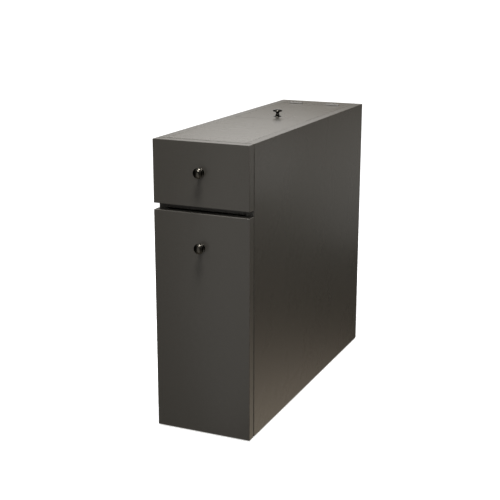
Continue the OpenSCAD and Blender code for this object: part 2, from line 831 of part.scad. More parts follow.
side_panel(-1);  // side_panel_left
side_panel(1);  // side_panel_right
bottom_panel();
divider_panel();
partition_panel();
top_panel();
rear_rail();
back_board();
floor_glides();
cam_locks();
cam_bolts();
wood_dowels();
upper_channel(-1);  // upper_channel_left
upper_channel(1);  // upper_channel_right
lower_channel(-1);  // lower_channel_left
lower_channel(1);  // lower_channel_right
channel_screws();
hinge_rail_leaves();
hinge_pins();
hinge_rail_screws();
drawer_front();
drawer_side(-1);  // drawer_side_left
drawer_side(1);  // drawer_side_right
drawer_back();
drawer_bottom();
drawer_runner(-1);  // drawer_runner_left
drawer_runner(1);  // drawer_runner_right
front_knob(drawer_knob_z);  // drawer_knob
front_knob_screw(drawer_knob_z);  // drawer_knob_screw
drawer_cams_and_bolts();
drawer_screws();
drawer_bumpers();
rack_front();
rack_shelf(rack_z);  // rack_bottom_shelf
rack_shelf(upper_shelf_z);  // rack_upper_shelf
rack_back();
rack_guard(-1, rack_z + shelf_t);  // rack_guard_lower_left
rack_guard(1, rack_z + shelf_t);  // rack_guard_lower_right
rack_guard(-1, upper_shelf_z + shelf_t);  // rack_guard_upper_left
rack_guard(1, upper_shelf_z + shelf_t);  // rack_guard_upper_right
rack_runner(-1);  // rack_runner_left
rack_runner(1);  // rack_runner_right
front_knob(rack_knob_z);  // rack_knob
front_knob_screw(rack_knob_z);  // rack_knob_screw
rack_cams_and_bolts();
rack_dowels();
rack_screws();
rack_bumpers();
lid_panel();
lid_knob();
lid_knob_screw();
hinge_lid_leaves();
hinge_lid_screws();
channel_rollers(upper_slide_z);  // upper_channel_rollers
runner_rollers(upper_slide_z);  // upper_runner_rollers
channel_rollers(lower_slide_z);  // lower_channel_rollers
runner_rollers(lower_slide_z);  // lower_runner_rollers
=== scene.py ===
"""Looks of a slim storage cabinet: edged boards, turned knobs, roller slides, hinges and fittings."""

import math

import bmesh
import bpy
from bpy.props import FloatProperty, FloatVectorProperty, IntProperty, PointerProperty
from bpy.types import Operator, Panel, PropertyGroup
from mathutils import Matrix, Vector


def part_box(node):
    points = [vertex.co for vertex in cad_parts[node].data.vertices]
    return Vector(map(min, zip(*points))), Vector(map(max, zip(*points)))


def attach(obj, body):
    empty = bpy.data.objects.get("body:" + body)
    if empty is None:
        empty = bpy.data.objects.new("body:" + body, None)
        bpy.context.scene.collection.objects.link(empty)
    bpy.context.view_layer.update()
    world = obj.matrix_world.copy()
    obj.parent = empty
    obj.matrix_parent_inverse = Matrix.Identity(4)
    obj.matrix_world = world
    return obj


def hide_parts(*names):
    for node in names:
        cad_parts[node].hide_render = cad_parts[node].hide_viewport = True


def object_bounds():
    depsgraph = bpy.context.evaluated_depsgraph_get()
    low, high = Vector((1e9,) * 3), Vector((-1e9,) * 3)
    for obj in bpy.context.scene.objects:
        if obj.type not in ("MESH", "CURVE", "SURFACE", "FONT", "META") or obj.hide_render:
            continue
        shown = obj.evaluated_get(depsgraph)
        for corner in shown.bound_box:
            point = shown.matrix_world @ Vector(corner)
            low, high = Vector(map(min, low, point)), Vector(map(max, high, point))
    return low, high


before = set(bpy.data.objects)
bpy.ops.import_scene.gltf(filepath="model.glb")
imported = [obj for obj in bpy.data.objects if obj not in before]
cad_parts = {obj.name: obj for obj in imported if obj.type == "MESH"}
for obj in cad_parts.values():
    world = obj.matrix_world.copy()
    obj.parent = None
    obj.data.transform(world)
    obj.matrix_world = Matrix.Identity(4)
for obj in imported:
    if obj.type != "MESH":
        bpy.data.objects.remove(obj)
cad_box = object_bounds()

bl_info = {
    "name": "Slim storage cabinet",
    "version": (1, 0, 0),
    "blender": (4, 5, 0),
    "location": "3D View > Sidebar > Cabinet",
    "description": "Dresses the cabinet's frame with edged boards, turned knobs, slides and fittings",
    "category": "Object",
}

MM = 0.001
AXES = "xyz"

# Tolerances for reading the CAD's meshes
MERGE = 0.002 * MM
ON_BOX = 0.02 * MM
SQUARE_NORMAL = 0.999
FLAT_ANGLE = math.radians(1)
SHARP_ANGLE = math.radians(35)
SQUARE_ANGLE = math.radians(60)

# Sizes of broken edges and bends. A long edge of a slide is a bend where both of its faces are wide enough.
SHEET_BOARD_EDGE_R = 0.2 * MM
SLIDE_BEND_R = 0.9 * MM
SLIDE_BEND_STEPS = 4
SLIDE_BEND_LEAST_W = 2.5 * MM
SLIDE_EDGE_R = 0.15 * MM
LEAF_EDGE_R = 0.15 * MM
PIN_EDGE_R = 0.25 * MM
HINGE_SCREW_EDGE_R = 0.08 * MM
FITTING_EDGE_R = 0.12 * MM

BEECH_DARK = (0.46, 0.30, 0.16)
BEECH_LIGHT = (0.66, 0.47, 0.28)
BEECH_RAY = (0.30, 0.17, 0.08)

# Which narrow sides of each board are rounded. The others are hidden in a joint and stay sharp.
CARCASS_EDGING = {
    "side_panel_left": "-y +y -z +z",
    "side_panel_right": "-y +y -z +z",
    "bottom_panel": "-y +y",
    "divider_panel": "-y +y",
    "partition_panel": "+z",
    "top_panel": "-y +y",
    "rear_rail": "-y +y",
}
DRAWER_EDGING = {"drawer_side_left": "+z +y", "drawer_side_right": "+z +y", "drawer_back": "+z"}
RACK_EDGING = {
    "rack_bottom_shelf": "-x +x",
    "rack_upper_shelf": "-x +x",
    "rack_back": "-x +x -z +z",
    "rack_guard_lower_left": "-z +z",
    "rack_guard_lower_right": "-z +z",
    "rack_guard_upper_left": "-z +z",
    "rack_guard_upper_right": "-z +z",
}
FRONT_EDGING = "-x +x -z +z"
LID_EDGING = "-x +x -y +y"


# ---- Settings ----

class CabinetBoardSettings(PropertyGroup):
    """Colours and edge sizes of the boards."""

    face_colour: FloatVectorProperty(
        name="Face colour", description="Colour of the melamine faces of the carcass, the boxes and the lid",
        subtype="COLOR", size=3, min=0, max=1, default=(0.060, 0.0552, 0.0475))
    front_colour: FloatVectorProperty(
        name="Front colour", description="Colour of the melamine faces of the fronts",
        subtype="COLOR", size=3, min=0, max=1, default=(0.059, 0.0545, 0.0470))
    edging_colour: FloatVectorProperty(
        name="Edging colour", description="Colour of the edging strip on the narrow sides",
        subtype="COLOR", size=3, min=0, max=1, default=(0.064, 0.0595, 0.052))
    chipboard_colour: FloatVectorProperty(
        name="Chipboard colour", description="Colour of the raw board inside holes and on hidden edges",
        subtype="COLOR", size=3, min=0, max=1, default=(0.46, 0.31, 0.17))
    hardboard_colour: FloatVectorProperty(
        name="Hardboard colour", description="Colour of the raw side of the thin boards",
        subtype="COLOR", size=3, min=0, max=1, default=(0.17, 0.095, 0.048))
    roughness: FloatProperty(
        name="Roughness", description="Roughness of the melamine faces",
        subtype="FACTOR", min=0, max=1, default=0.27)
    foil_dullness: FloatProperty(
        name="Foil dullness", description="How much rougher the foil of the thin boards is",
        subtype="FACTOR", min=0, max=1, default=0.1)
    edge_radius: FloatProperty(
        name="Edging radius", description="Radius that the edging strip is rounded to",
        unit="LENGTH", min=0.0002, max=0.003, default=0.6 * MM)
    edge_segments: IntProperty(
        name="Edging segments", description="Steps round an edging's radius", min=1, max=6, default=3)


class CabinetMetalSettings(PropertyGroup):
    """Colours of the knobs, slides and fittings, and the steps round turned pieces."""

    knob_colour: FloatVectorProperty(
        name="Knob colour", description="Reflection colour of the dark chrome knobs",
        subtype="COLOR", size=3, min=0, max=1, default=(0.050, 0.046, 0.039))
    knob_steps: IntProperty(
        name="Knob steps", description="Steps round a knob", min=24, max=128, default=72)
    slide_colour: FloatVectorProperty(
        name="Slide colour", description="Colour of the coated steel slides",
        subtype="COLOR", size=3, min=0, max=1, default=(0.74, 0.73, 0.69))
    zinc_colour: FloatVectorProperty(
        name="Zinc colour", description="Colour of the zinc-plated fittings",
        subtype="COLOR", size=3, min=0, max=1, default=(0.58, 0.58, 0.57))
    hinge_colour: FloatVectorProperty(
        name="Hinge colour", description="Colour of the lacquered hinges",
        subtype="COLOR", size=3, min=0, max=1, default=(0.135, 0.127, 0.117))
    nylon_colour: FloatVectorProperty(
        name="Nylon colour", description="Colour of the rollers and glides",
        subtype="COLOR", size=3, min=0, max=1, default=(0.78, 0.77, 0.72))
    bumper_colour: FloatVectorProperty(
        name="Bumper colour", description="Colour of the bumpers behind the fronts",
        subtype="COLOR", size=3, min=0, max=1, default=(0.55, 0.56, 0.56))
    turned_steps: IntProperty(
        name="Turned steps", description="Steps round a roller or a glide", min=24, max=96, default=48)
    bumper_steps: IntProperty(
        name="Bumper steps", description="Steps round a bumper", min=16, max=64, default=32)


class CabinetStageSettings(PropertyGroup):
    """Camera, floor and light."""

    azimuth: FloatProperty(
        name="Azimuth", description="Angle of the camera to the right of straight ahead",
        subtype="ANGLE", default=math.radians(23.85))
    elevation: FloatProperty(
        name="Elevation", description="Angle of the camera above the horizon",
        subtype="ANGLE", default=math.radians(15.06))
    roll: FloatProperty(
        name="Roll", description="Turn of the camera about its own axis",
        subtype="ANGLE", default=math.radians(0.08))
    distance: FloatProperty(
        name="Distance", description="Distance from the camera to the point it looks at",
        unit="LENGTH", default=2.1)
    aim: FloatVectorProperty(
        name="Aim", description="Point that the camera looks at",
        subtype="XYZ", unit="LENGTH", size=3, default=(0.0057, -0.0980, 0.3085))
    lens: FloatProperty(
        name="Lens", description="Focal length on a 36 mm wide sensor, in millimetres", default=76.68)
    floor_colour: FloatVectorProperty(
        name="Floor colour", description="Colour of the floor",
        subtype="COLOR", size=3, min=0, max=1, default=(0.90, 0.90, 0.90))
    floor_glow: FloatProperty(
        name="Floor glow", description="Brightness of the light from within the floor", default=0.75)
    overhead_power: FloatProperty(
        name="Overhead light", description="Power of the softbox above the cabinet, in watts", default=48)
    card_brightness: FloatProperty(
        name="Card brightness", description="Brightness of the cards that the faces mirror", default=0.75)
    flags: FloatProperty(
        name="Flags", description="Darkness of the flags at both sides", subtype="FACTOR",
        min=0, max=1, default=0.85)
    surround: FloatProperty(
        name="Surround", description="Brightness of the studio around the cabinet", default=1.0)


# ---- Shader maths ----

class Value:
    """A socket that carries a number, which Python's operators turn into Math nodes."""

    def __init__(self, shader, socket):
        self.shader = shader
        self.socket = socket

    def __add__(self, other):
        return self.shader.maths("ADD", self, other)

    def __radd__(self, other):
        return self.shader.maths("ADD", other, self)

    def __sub__(self, other):
        return self.shader.maths("SUBTRACT", self, other)

    def __rsub__(self, other):
        return self.shader.maths("SUBTRACT", other, self)

    def __mul__(self, other):
        return self.shader.maths("MULTIPLY", self, other)

    def __rmul__(self, other):
        return self.shader.maths("MULTIPLY", other, self)


# The sockets of a Mix node that is set to colours
MIX_FIRST, MIX_SECOND, MIX_RESULT = 6, 7, 2


class Shader:
    """The node tree of a material or a world."""

    def __init__(self, owner, coordinates="Object"):
        owner.use_nodes = True
        self.owner = owner
        self.tree = owner.node_tree
        self.tree.nodes.clear()
        self.place = self.node("ShaderNodeTexCoord", output=coordinates)

    def node(self, kind, settings=None, inputs=None, output=0):
        """Makes a node, sets its properties and then its sockets, and returns one of its outputs."""
        made = self.tree.nodes.new(kind)
        for name, value in (settings or {}).items():
            if name == "stops":
                self.set_stops(made.color_ramp, value)
            else:
                setattr(made, name, value)
        for name, value in (inputs or {}).items():
            if isinstance(value, Value):
                self.tree.links.new(value.socket, made.inputs[name])
            else:
                made.inputs[name].default_value = value
        return Value(self, made.outputs[output]) if made.outputs else made

    @staticmethod
    def set_stops(ramp, stops):
        """Gives a colour ramp its (position, colour) stops."""
        while len(ramp.elements) < len(stops):
            ramp.elements.new(1)
        for element, (position, colour) in zip(ramp.elements, stops):
            element.position = position
            element.color = (*colour, 1)

    def maths(self, operation, first, second):
        """The result of a Math node."""
        return self.node("ShaderNodeMath", {"operation": operation}, {0: first, 1: second})

    def stretched(self, stretch):
        """The coordinates, scaled along each axis."""
        return self.node("ShaderNodeMapping", {}, {"Vector": self.place, "Scale": stretch})

    def noise(self, scale, detail=2, roughness=0.5, stretch=(1, 1, 1), distortion=0):
        """A noise value from 0 to 1. scale is in waves per metre."""
        return self.node(
            "ShaderNodeTexNoise", {},
            {"Vector": self.stretched(stretch), "Scale": scale, "Detail": detail,
             "Roughness": roughness, "Distortion": distortion})

    def cells(self, scale, stretch=(1, 1, 1), output="Distance", randomness=1):
        """Voronoi cells. scale is in cells per metre."""
        return self.node(
            "ShaderNodeTexVoronoi", {},
            {"Vector": self.stretched(stretch), "Scale": scale, "Randomness": randomness}, output)

    def spread(self, value, low, high, out_low=0, out_high=1):
        """value mapped from low..high to out_low..out_high, and held there."""
        return self.node(
            "ShaderNodeMapRange", {"clamp": True},
            {"Value": value, "From Min": low, "From Max": high, "To Min": out_low, "To Max": out_high})

    def mix(self, factor, first, second):
        """A colour between two colours."""
        return self.node(
            "ShaderNodeMix", {"data_type": "RGBA"},
            {"Factor": factor, MIX_FIRST: colour_of(first), MIX_SECOND: colour_of(second)}, MIX_RESULT)

    def bump(self, height, strength, distance):
        """A normal that follows a height."""
        return self.node(
            "ShaderNodeBump", {}, {"Height": height, "Strength": strength, "Distance": distance}, "Normal")

    def finish(self, **sockets):
        """Ends the material in a Principled shader with these sockets, and returns the material."""
        inputs = {
            "Specular IOR Level" if name == "specular" else name.replace("_", " ").title(): value
            for name, value in sockets.items()}
        surface = self.node("ShaderNodeBsdfPrincipled", {}, inputs)
        self.node("ShaderNodeOutputMaterial", {}, {"Surface": surface})
        return self.owner


def colour_of(value):
    """A colour with its alpha, or a linked socket as it is."""
    return value if isinstance(value, Value) else (*value[:3], 1)


def tint(colour, share):
    """The colour made lighter or darker."""
    return tuple(min(1, c * share) for c in colour[:3])


# ---- Materials ----

def once(build):
    """Keeps one material for each set of arguments."""
    made = {}

    def find(*arguments):
        key = tuple(tuple(a) if hasattr(a, "__len__") and not isinstance(a, str) else a for a in arguments)
        if key not in made:
            made[key] = build(*arguments)
        return made[key]
    return find


@once
def melamine(name, colour, roughness):
    """Satin melamine: a fine stipple, faint clouding and slightly glossier wiped patches."""
    shader = Shader(bpy.data.materials.new(name))
    stipple = shader.noise(1500, detail=2, roughness=0.6)
    clouds = shader.noise(7, detail=3, roughness=0.5, stretch=(1, 1, 0.6))
    wiped = shader.spread(shader.noise(11, detail=2, roughness=0.45, distortion=0.5), 0.35, 0.75)
    grain = shader.noise(260, detail=3, roughness=0.6)
    mottle = stipple * 0.3 + clouds * 0.6 + grain * 0.1
    face = shader.mix(shader.spread(mottle, 0.3, 0.7), tint(colour, 0.965), tint(colour, 1.035))
    gloss = roughness - 0.01 + stipple * 0.02 + clouds * 0.02 - wiped * 0.01
    relief = shader.noise(620, detail=2, roughness=0.5) * 0.6 + stipple * 0.4
    return shader.finish(
        base_color=face, roughness=gloss, specular=0.30,
        normal=shader.bump(relief, strength=0.04, distance=0.03 * MM))


@once
def edging(name, colour, roughness):
    """A plastic edging strip: fine lines from the scraper, and lighter rubbed spots."""
    shader = Shader(bpy.data.materials.new(name))
    lines = shader.noise(900, detail=2, roughness=0.5, stretch=(1, 0.03, 0.03))
    spots = shader.spread(shader.noise(130, detail=4, roughness=0.65), 0.60, 0.74)
    clouds = shader.noise(22, detail=2)
    tone = shader.mix(clouds * 0.5 + lines * 0.5, tint(colour, 0.88), tint(colour, 1.14))
    worn = shader.mix(spots * 0.25, tone, tint(colour, 1.6))
    return shader.finish(
        base_color=worn, roughness=roughness + 0.02 + lines * 0.06 + spots * 0.08, specular=0.33,
        normal=shader.bump(lines, strength=0.06, distance=0.04 * MM))


@once
def chipboard(name, colour):
    """Raw chipboard: flakes of different tones, with dark glue between them."""
    shader = Shader(bpy.data.materials.new(name))
    flakes = shader.node(
        "ShaderNodeSeparateColor", {},
        {"Color": shader.cells(420, stretch=(1, 0.5, 1.6), output="Color")}, "Red")
    gaps = shader.spread(shader.cells(420, stretch=(1, 0.5, 1.6)), 0.35, 0.8)
    fibre = shader.noise(2400, detail=3, roughness=0.6)
    flake = shader.mix(flakes * 0.7 + fibre * 0.3, tint(colour, 0.62), tint(colour, 1.35))
    board = shader.mix(gaps * 0.6, flake, tint(colour, 0.35))
    return shader.finish(
        base_color=board, roughness=0.92 - flakes * 0.1, specular=0.25,
        normal=shader.bump(fibre - gaps * 0.6, strength=0.5, distance=0.2 * MM))


@once
def hardboard(name, colour):
    """The raw side of a thin fibreboard: matted fibres, and a fine woven screen mark."""
    shader = Shader(bpy.data.materials.new(name))
    matted = shader.noise(900, detail=4, roughness=0.7, stretch=(1, 1, 0.6), distortion=0.8)
    strands = shader.noise(180, detail=4, roughness=0.7, stretch=(1, 1, 3), distortion=1.5)
    clouds = shader.noise(9, detail=3)
    screen = shader.cells(900, randomness=0.15)
    tone = shader.mix(
        shader.spread(matted * 0.4 + strands * 0.35 + clouds * 0.25, 0.35, 0.65),
        tint(colour, 0.68), tint(colour, 1.3))
    return shader.finish(
        base_color=tone, roughness=0.72 + matted * 0.2, specular=0.3,
        normal=shader.bump(matted * 0.5 + screen * 0.5, strength=0.35, distance=0.12 * MM))


@once
def dark_chrome(name, colour):
    """Polished dark chrome with faint wipe marks and a few dust pits."""
    shader = Shader(bpy.data.materials.new(name))
    smears = shader.noise(190, detail=3, roughness=0.6, stretch=(1, 1, 0.5), distortion=1.2)
    pits = shader.spread(shader.noise(1900, detail=2), 0.70, 0.78)
    tone = shader.mix(smears, tint(colour, 0.9), tint(colour, 1.12))
    return shader.finish(
        base_color=tone, metallic=1, roughness=0.07 + smears * 0.10 + pits * 0.2,
        normal=shader.bump(shader.noise(420, detail=2) - pits, strength=0.05, distance=0.03 * MM))


@once
def coated_steel(name, colour):
    """Sheet steel under an epoxy coat, with an orange-peel skin and grey rubbed tracks."""
    shader = Shader(bpy.data.materials.new(name))
    peel = shader.noise(900, detail=2, roughness=0.5)
    rubbed = shader.spread(shader.noise(60, detail=4, roughness=0.65, stretch=(1, 0.12, 1)), 0.60, 0.72)
    clouds = shader.noise(14, detail=2)
    coat = shader.mix(clouds, tint(colour, 0.93), tint(colour, 1.05))
    tone = shader.mix(rubbed * 0.3, coat, tint(colour, 0.6))
    return shader.finish(
        base_color=tone, roughness=0.34 + peel * 0.10 + rubbed * 0.12, specular=0.5,
        normal=shader.bump(peel, strength=0.18, distance=0.06 * MM))


@once
def plated(name, colour):
    """Plated metal: crystals and a fine grain in the plating, and dull patches."""
    shader = Shader(bpy.data.materials.new(name))
    crystals = shader.cells(1500)
    grain = shader.noise(1300, detail=3, roughness=0.6)
    dull = shader.noise(70, detail=3, roughness=0.6)
    tone = shader.mix(
        shader.spread(crystals * 0.3 + grain * 0.35 + dull * 0.35, 0.25, 0.7),
        tint(colour, 0.8), tint(colour, 1.15))
    return shader.finish(
        base_color=tone, metallic=1, roughness=0.22 + dull * 0.22 + grain * 0.08,
        normal=shader.bump(grain, strength=0.12, distance=0.03 * MM))


@once
def nylon(name, colour):
    """Moulded nylon: flow clouds and a fine eroded skin."""
    shader = Shader(bpy.data.materials.new(name))
    flow = shader.noise(160, detail=3, distortion=1.5)
    skin = shader.noise(2200, detail=2)
    tone = shader.mix(flow, tint(colour, 0.9), tint(colour, 1.06))
    return shader.finish(
        base_color=tone, roughness=0.38 + skin * 0.14, specular=0.5, subsurface_weight=0.08,
        normal=shader.bump(skin, strength=0.12, distance=0.03 * MM))


@once
def beech(name):
    """Raw beech: long grain with short dark rays."""
    shader = Shader(bpy.data.materials.new(name))
    grain = shader.noise(700, detail=4, roughness=0.6, stretch=(0.12, 0.12, 1), distortion=0.4)
    rays = shader.spread(shader.noise(1500, detail=2, roughness=0.5, stretch=(0.35, 0.35, 1)), 0.62, 0.74)
    tone = shader.mix(grain, BEECH_DARK, BEECH_LIGHT)
    return shader.finish(
        base_color=shader.mix(rays * 0.5, tone, BEECH_RAY), roughness=0.62 + grain * 0.15, specular=0.35,
        normal=shader.bump(grain, strength=0.3, distance=0.08 * MM))


@once
def floor_paint(name, colour, glow):
    """A plain pale floor, lit through from below, with a barely visible roll texture."""
    shader = Shader(bpy.data.materials.new(name))
    roll = shader.noise(3, detail=3)
    skin = shader.noise(300, detail=2)
    paint = shader.mix(roll, tint(colour, 0.985), colour)
    return shader.finish(
        base_color=paint, roughness=0.7 + skin * 0.1, specular=0.2,
        emission_color=paint, emission_strength=glow,
        normal=shader.bump(skin, strength=0.03, distance=0.1 * MM))


def carcass_face(settings):
    """The melamine of every board but the fronts."""
    return melamine("carcass_melamine", settings.face_colour, settings.roughness)


def front_face(settings):
    """The melamine of the two fronts."""
    return melamine("front_melamine", settings.front_colour, settings.roughness)


# ---- Meshes ----

def cad_copy(node):
    """A copy of a CAD node's mesh with its triangles joined and its flat faces made whole."""
    mesh = bmesh.new()
    mesh.from_mesh(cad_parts[node].data)
    bmesh.ops.remove_doubles(mesh, verts=mesh.verts, dist=MERGE)
    bmesh.ops.dissolve_limit(
        mesh, angle_limit=FLAT_ANGLE, use_dissolve_boundaries=False, verts=mesh.verts, edges=mesh.edges,
        delimit=set())
    for face in mesh.faces:
        face.material_index = 0
    mesh.normal_update()
    return mesh


def fold_angle(edge):
    """How far an edge's faces are from lying flat, which is negative where they fold inwards."""
    return edge.calc_face_angle_signed(0) if len(edge.link_faces) == 2 else 0


def soften(mesh, edges, radius, segments):
    """Rounds these edges and returns the new faces."""
    edges = list(edges)
    if not edges:
        return []
    return bmesh.ops.bevel(
        mesh, geom=edges, offset=radius, offset_type="OFFSET", segments=segments, profile=0.5,
        affect="EDGES", clamp_overlap=True, material=-1)["faces"]


def shade(mesh, flat=()):
    """Smooth shading with creases at sharp edges. The faces in flat stay flat."""
    mesh.normal_update()
    for face in mesh.faces:
        face.smooth = face not in flat
    for edge in mesh.edges:
        edge.smooth = abs(fold_angle(edge)) < SHARP_ANGLE


def piece(name, mesh, materials, body, slot, *nodes):
    """Makes a finished object of a mesh: it rides on a body and stands for these CAD nodes."""
    data = bpy.data.meshes.new(name)
    mesh.to_mesh(data)
    mesh.free()
    for material in materials:
        data.materials.append(material)
    made = bpy.data.objects.new(name, data)
    bpy.context.scene.collection.objects.link(made)
    if nodes:
        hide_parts(*nodes)
    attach(made, body)
    return made


def side_of(face):
    """The side that a face looks to, such as -y, and its axis."""
    axis = max(range(3), key=lambda i: abs(face.normal[i]))
    return ("-" if face.normal[axis] < 0 else "+") + AXES[axis], axis


def is_square(face):
    """Whether a face is square to one of the axes."""
    return max(abs(part) for part in face.normal) > SQUARE_NORMAL


def is_outer(face, axis, low, high):
    """Whether a face lies on its board's own box."""
    side = high[axis] if face.normal[axis] > 0 else low[axis]
    return is_square(face) and abs(face.calc_center_median()[axis] - side) < ON_BOX


def thinnest(low, high):
    """The axis of a board's thickness."""
    return min(range(3), key=lambda i: high[i] - low[i])


# The material slots of an edged board and of a thin board
FACE, EDGE, CORE = 0, 1, 2
FOIL, RAW = 0, 1


def edged_board(node, body, slot, banded, face_material, settings):
    """A board with edging round it, rounded on the banded sides, and raw core in its holes."""
    mesh = cad_copy(node)
    low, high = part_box(node)
    thin = thinnest(low, high)
    for face in mesh.faces:
        axis = side_of(face)[1]
        outer = is_outer(face, axis, low, high)
        face.material_index = CORE if not outer else FACE if axis == thin else EDGE
    strips = {face for face in mesh.faces if face.material_index == EDGE and side_of(face)[0] in banded}
    corners = [
        edge for edge in mesh.edges
        if fold_angle(edge) > SHARP_ANGLE and strips & set(edge.link_faces)
        and all(face.material_index != CORE for face in edge.link_faces)]
    rounded = set(soften(mesh, corners, settings.edge_radius, settings.edge_segments))
    for face in rounded:
        face.material_index = EDGE
    shade(mesh, {face for face in mesh.faces if face not in rounded and is_square(face)})
    materials = [
        face_material, edging("edging", settings.edging_colour, settings.roughness),
        chipboard("chipboard", settings.chipboard_colour)]
    return piece("board_" + node, mesh, materials, body, slot, node)


def thin_board(node, body, raw_side, settings):
    """A thin fibreboard, foiled on one side and raw on the other."""
    mesh = cad_copy(node)
    for face in mesh.faces:
        face.material_index = RAW if side_of(face)[0] == raw_side else FOIL
    soften(mesh, [edge for edge in mesh.edges if fold_angle(edge) > SHARP_ANGLE], SHEET_BOARD_EDGE_R, 1)
    shade(mesh, set(mesh.faces))
    materials = [
        melamine("foil", settings.face_colour, settings.roughness + settings.foil_dullness),
        hardboard("hardboard", settings.hardboard_colour)]
    return piece("sheet_" + node, mesh, materials, body, "thin_board", node)


def fitting(node, body, slot, material, radius, segments=1):
    """A metal or plastic fitting of the CAD's own shape, with its sharp edges broken."""
    mesh = cad_copy(node)
    soften(mesh, [edge for edge in mesh.edges if abs(fold_angle(edge)) > SHARP_ANGLE], radius, segments)
    shade(mesh)
    return piece("part_" + node, mesh, [material], body, slot, node)


def islands(node):
    """The (lowest corner, highest corner) of each separate solid in a CAD node, in order of place."""
    mesh = bmesh.new()
    mesh.from_mesh(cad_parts[node].data)
    bmesh.ops.remove_doubles(mesh, verts=mesh.verts, dist=MERGE)
    left, boxes = set(mesh.verts), []
    while left:
        group, queue = [], [left.pop()]
        while queue:
            vert = queue.pop()
            group.append(vert.co.copy())
            near = {edge.other_vert(vert) for edge in vert.link_edges} & left
            left -= near
            queue.extend(near)
        boxes.append(tuple(Vector(pick(co[i] for co in group) for i in range(3)) for pick in (min, max)))
    mesh.free()
    return sorted(boxes, key=lambda box: tuple(box[0]))


def arc(centre, radii, start, end, steps):
    """Points on part of an ellipse, from angle start to end in degrees."""
    turns = [math.radians(start + (end - start) * i / steps) for i in range(steps + 1)]
    return [(centre[0] + radii[0] * math.cos(t), centre[1] + radii[1] * math.sin(t)) for t in turns]


def turned(outline, steps, closed=False):
    """A turned solid: an outline of (radius, height) points spun round +Z."""
    mesh = bmesh.new()
    verts = [mesh.verts.new((radius, 0, height)) for radius, height in outline]
    ends = zip(verts, verts[1:] + verts[:1]) if closed else zip(verts, verts[1:])
    edges = [mesh.edges.new(pair) for pair in ends]
    bmesh.ops.spin(
        mesh, geom=verts + edges, cent=(0, 0, 0), axis=(0, 0, 1), dvec=(0, 0, 0), angle=math.tau,
        steps=steps, use_merge=True, use_normal_flip=False, use_duplicate=False)
    bmesh.ops.remove_doubles(mesh, verts=mesh.verts, dist=MERGE)
    bmesh.ops.recalc_face_normals(mesh, faces=mesh.faces)
    return mesh


def placed(mesh, origin, direction):
    """Turns a mesh so that its +Z points along direction, and moves it to origin."""
    turn = Vector((0, 0, 1)).rotation_difference(Vector(direction)).to_matrix().to_4x4()
    bmesh.ops.transform(mesh, matrix=Matrix.Translation(Vector(origin)) @ turn, verts=mesh.verts)
    bmesh.ops.recalc_face_normals(mesh, faces=mesh.faces)
    return mesh


def joined(meshes):
    """One mesh that holds all of these."""
    whole = bmesh.new()
    for mesh in meshes:
        shade(mesh)
        data = bpy.data.meshes.new("joining")
        mesh.to_mesh(data)
        mesh.free()
        whole.from_mesh(data)
        bpy.data.meshes.remove(data)
    return whole


# ---- Pieces ----

def knob_outline(height, head_r):
    """A knob's outline, from the middle of its foot to the middle of its crown."""
    foot_r, waist_r = 7.5 * MM, 3.2 * MM
    foot_t, cap_t, band_t, round_r = 1.4 * MM, 4.9 * MM, 0.9 * MM, 0.3 * MM
    foot_flare, head_flare = 8, 10  # degrees that the waist's curve stops short of level
    round_steps, foot_steps, head_steps, crown_steps = 3, 14, 16, 18
    rim_z = height - cap_t
    waist_z = (foot_t + rim_z) / 2
    crown_z = rim_z + band_t
    edge, inner_r = (round_r, round_r), foot_r - round_r
    foot = [(0, 0)] + arc((inner_r, round_r), edge, -90, 0, round_steps)
    foot += arc((inner_r, foot_t - round_r), edge, 0, 90, round_steps)
    lower = arc((foot_r, waist_z), (foot_r - waist_r, waist_z - foot_t), 270 - foot_flare, 180, foot_steps)
    upper = arc((head_r, waist_z), (head_r - waist_r, rim_z - waist_z), 180, 90 + head_flare, head_steps)
    band = arc((head_r - round_r, rim_z + round_r), edge, head_flare - 90, 0, round_steps)
    crown = arc((0, crown_z), (head_r, height - crown_z), 0, 90, crown_steps)
    return foot + lower + upper[1:] + band + crown[:-1] + [(0, height)]


def turned_knob(node, body, direction, settings):
    """A turned knob on its front or on the lid."""
    low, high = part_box(node)
    centre = (Vector(low) + Vector(high)) / 2
    axis = max(range(3), key=lambda i: abs(direction[i]))
    height = high[axis] - low[axis]
    foot = centre - Vector(direction) * height / 2
    radius = (high[0] - low[0]) / 2
    mesh = placed(turned(knob_outline(height, radius), settings.knob_steps), foot, direction)
    shade(mesh)
    return piece("turned_" + node, mesh, [dark_chrome("dark_chrome", settings.knob_colour)],
                 body, "black_chrome", node)


def roller_outline(radius, width):
    """A roller's closed outline: a crowned tread, a hollow web on each side and a hub."""
    bore_r, hub_r, rim_t, sink = 2.28 * MM, 3.2 * MM, 1.1 * MM, 0.7 * MM
    draft, lip, crown, round_r, round_steps = 0.2 * MM, 0.1 * MM, 0.12 * MM, 0.5 * MM, 4
    rim_r = radius - rim_t
    half = [(bore_r, 0), (hub_r, 0), (hub_r + draft, sink), (rim_r, sink), (rim_r + draft, lip)]
    half += arc((radius - crown - round_r, round_r), (round_r, round_r), -90, 0, round_steps)
    return half + [(radius, width / 2)] + [(r, width - z) for r, z in reversed(half)]


def roller_pair(node, body, settings):
    """The left and right rollers that share an axis."""
    meshes = []
    for low, high in islands(node):
        outline = roller_outline((high[1] - low[1]) / 2, high[0] - low[0])
        origin = (low[0], (low[1] + high[1]) / 2, (low[2] + high[2]) / 2)
        meshes.append(placed(turned(outline, settings.turned_steps, closed=True), origin, (1, 0, 0)))
    return piece("moulded_" + node, joined(meshes), [nylon("roller_nylon", settings.nylon_colour)],
                 body, "nylon", node)


